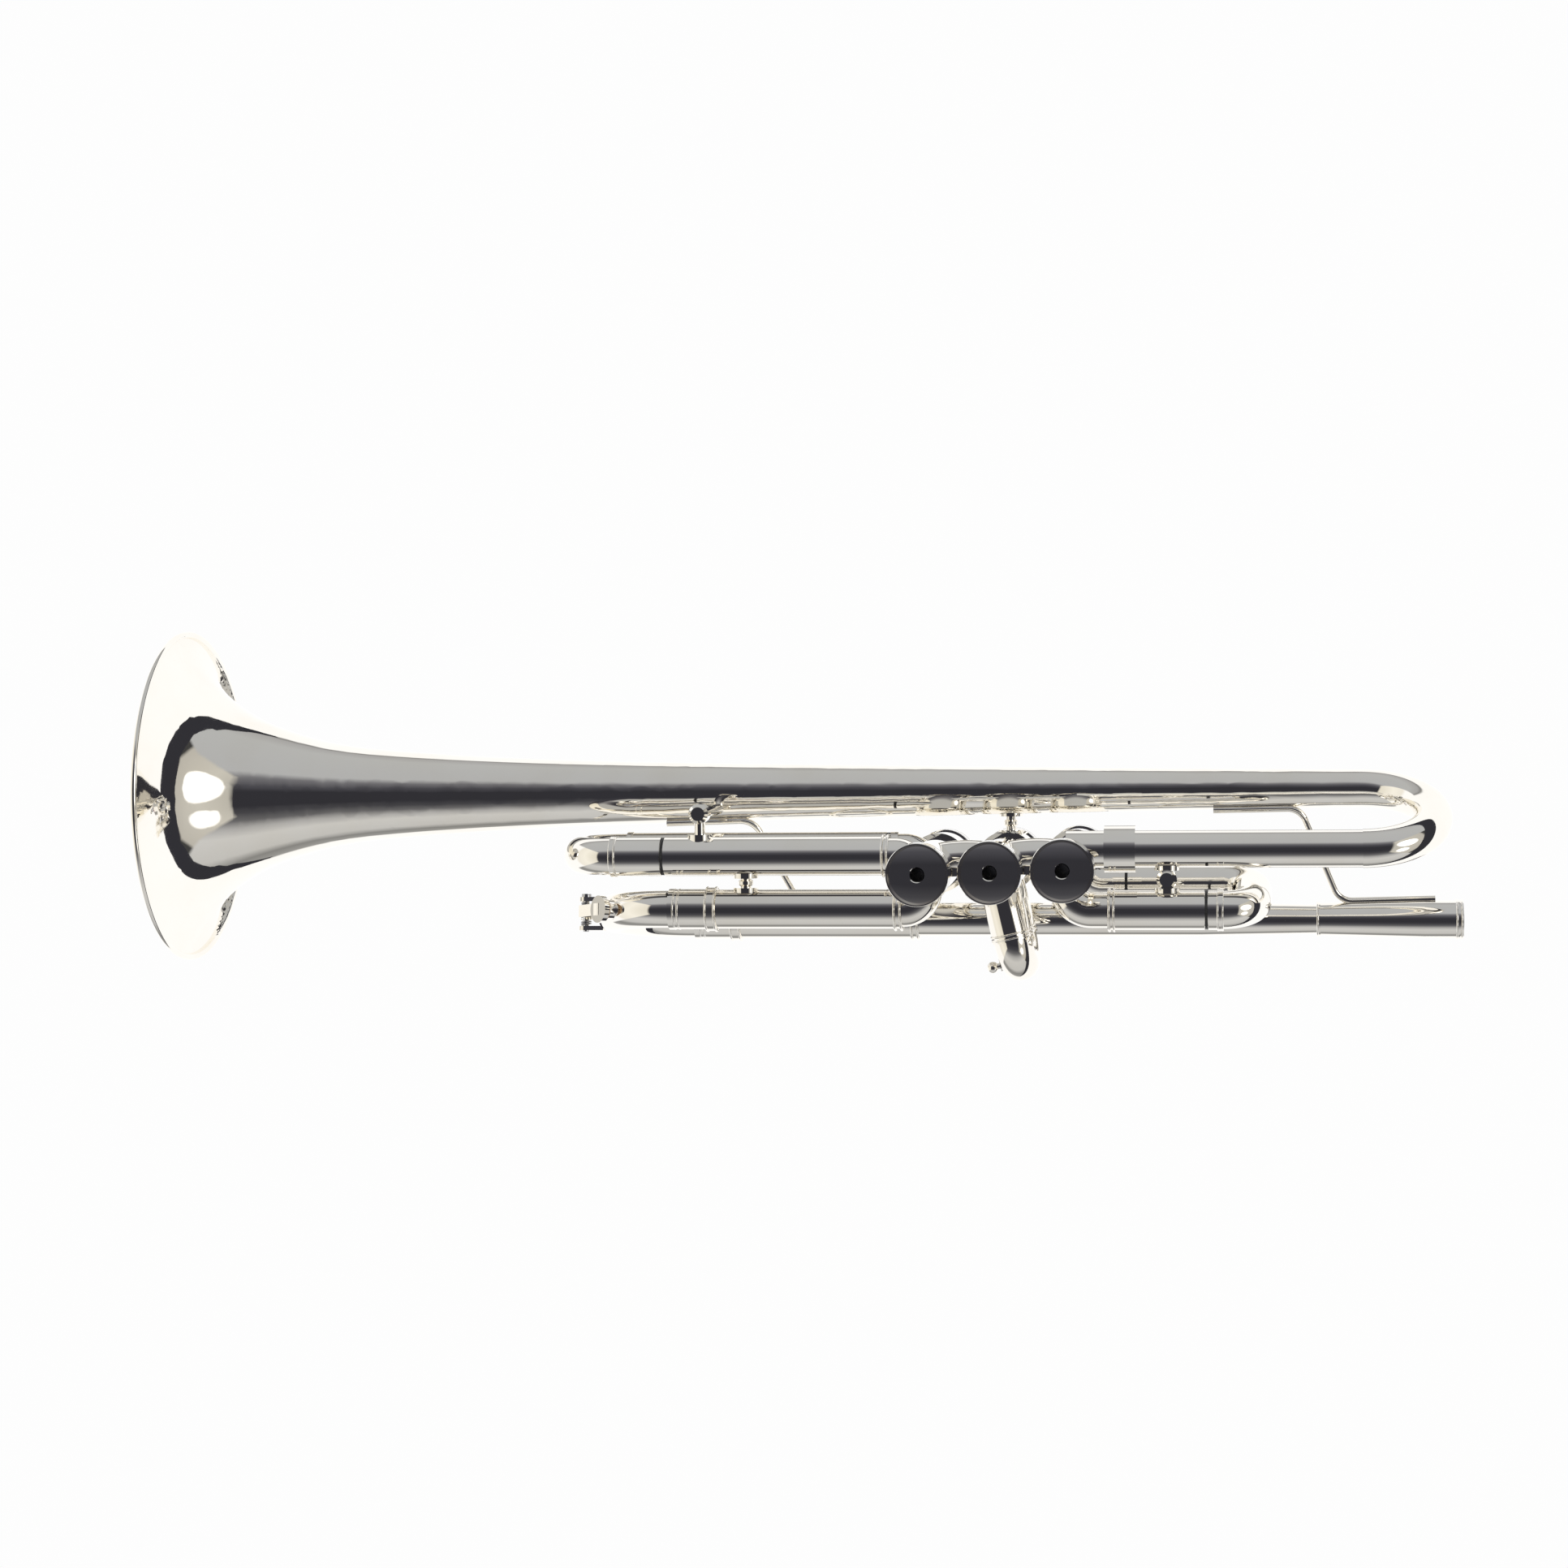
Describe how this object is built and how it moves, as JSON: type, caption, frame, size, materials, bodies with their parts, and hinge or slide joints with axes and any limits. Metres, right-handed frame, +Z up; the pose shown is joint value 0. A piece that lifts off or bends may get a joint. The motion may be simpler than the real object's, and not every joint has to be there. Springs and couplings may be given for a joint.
{
  "type": "trumpet",
  "caption": "Piston trumpet: a flared bell and wrapped tubing, sprung valves with finger buttons, and tuning slides that pull out.",
  "frame": {"origin": "centre of the mouthpiece receiver's open end", "axes": "+X along the leadpipe towards the player (the bell faces -X), +Y to the player's right, +Z up towards the finger buttons"},
  "size_m": [0.4838, 0.1306, 0.1357],
  "materials": {
    "silver_plate": "mirror-polished silver plate",
    "piston_alloy": "lapped nickel alloy",
    "stem_steel": "satin steel",
    "spring_steel": "drawn wire",
    "pearl": "polished mother-of-pearl look",
    "guide_plastic": "moulded",
    "felt": "wool felt",
    "bumper_rubber": "matt rubber",
    "cork": "natural cork"
  },
  "bodies": {
    "horn": {"bell": "silver_plate", "bell_rim_wire": "silver_plate", "bell_bow": "silver_plate", "bell_tail_tube": "silver_plate", "valve_casing_1": "silver_plate", "valve_casing_2": "silver_plate", "valve_casing_3": "silver_plate", "bottom_cap_1": "silver_plate", "bottom_cap_2": "silver_plate", "bottom_cap_3": "silver_plate", "top_cap_1": "silver_plate", "top_cap_2": "silver_plate", "top_cap_3": "silver_plate", "valve_crossovers": "silver_plate", "valve_webs": "silver_plate", "valve_guide_1": "guide_plastic", "valve_guide_2": "guide_plastic", "valve_guide_3": "guide_plastic", "valve_spring_1": "spring_steel", "valve_spring_2": "spring_steel", "valve_spring_3": "spring_steel", "mouthpiece_receiver": "silver_plate", "leadpipe": "silver_plate", "tuning_upper_tube": "silver_plate", "tuning_lower_tube": "silver_plate", "first_slide_tubes": "silver_plate", "second_slide_tubes": "silver_plate", "third_slide_tubes": "silver_plate", "rear_brace": "silver_plate", "front_brace": "silver_plate", "post_braces": "silver_plate", "tube_ferrules": "silver_plate", "finger_hook": "silver_plate", "valve_felts": "felt"},
    "valve_1": {"piston_1": "piston_alloy", "piston_stem_1": "stem_steel", "finger_button_1": "silver_plate", "button_pearl_1": "pearl"},
    "valve_2": {"piston_2": "piston_alloy", "piston_stem_2": "stem_steel", "finger_button_2": "silver_plate", "button_pearl_2": "pearl"},
    "valve_3": {"piston_3": "piston_alloy", "piston_stem_3": "stem_steel", "finger_button_3": "silver_plate", "button_pearl_3": "pearl"},
    "tuning_slide": {"tuning_slide_bow": "silver_plate", "water_key_mounts": "silver_plate", "water_key_screw": "stem_steel", "water_key_spring": "spring_steel"},
    "water_key": {"water_key_lever": "silver_plate", "water_key_cork": "cork"},
    "first_slide": {"first_slide_bow": "silver_plate", "first_slide_bumpers": "bumper_rubber", "thumb_saddle": "silver_plate"},
    "second_slide": {"second_slide_bow": "silver_plate", "second_slide_knob": "silver_plate"},
    "third_slide": {"third_slide_bow": "silver_plate", "third_slide_bumpers": "bumper_rubber", "third_slide_ring": "silver_plate"}
  },
  "joints": [
    {"name": "valve_1_stroke", "type": "slide", "parent": "horn", "child": "valve_1", "axis": [0, 0, -1], "range_m": [0, 0.0165], "stiffness_N_per_m": 150, "springref_m": -0.012, "deforming": ["valve_spring_1"]},
    {"name": "valve_2_stroke", "type": "slide", "parent": "horn", "child": "valve_2", "axis": [0, 0, -1], "range_m": [0, 0.0165], "stiffness_N_per_m": 150, "springref_m": -0.012, "deforming": ["valve_spring_2"]},
    {"name": "valve_3_stroke", "type": "slide", "parent": "horn", "child": "valve_3", "axis": [0, 0, -1], "range_m": [0, 0.0165], "stiffness_N_per_m": 150, "springref_m": -0.012, "deforming": ["valve_spring_3"]},
    {"name": "tuning_slide_pull", "type": "slide", "parent": "horn", "child": "tuning_slide", "axis": [-1, 0, 0], "range_m": [0, 0.045]},
    {"name": "first_slide_throw", "type": "slide", "parent": "horn", "child": "first_slide", "axis": [1, 0, 0], "range_m": [0, 0.022]},
    {"name": "second_slide_pull", "type": "slide", "parent": "horn", "child": "second_slide", "axis": [0.225, 0.9744, 0], "range_m": [0, 0.008]},
    {"name": "third_slide_throw", "type": "slide", "parent": "horn", "child": "third_slide", "axis": [-1, 0, 0], "range_m": [0, 0.019]},
    {"name": "water_key_hinge", "type": "hinge", "parent": "tuning_slide", "child": "water_key", "pos_m": [-0.3216, -0.0042, -0.02773], "axis": [0, 0.9887, -0.1497], "range_deg": [0, 20], "stiffness_Nm_per_rad": 0.05, "springref_deg": -20.05}
  ]
}
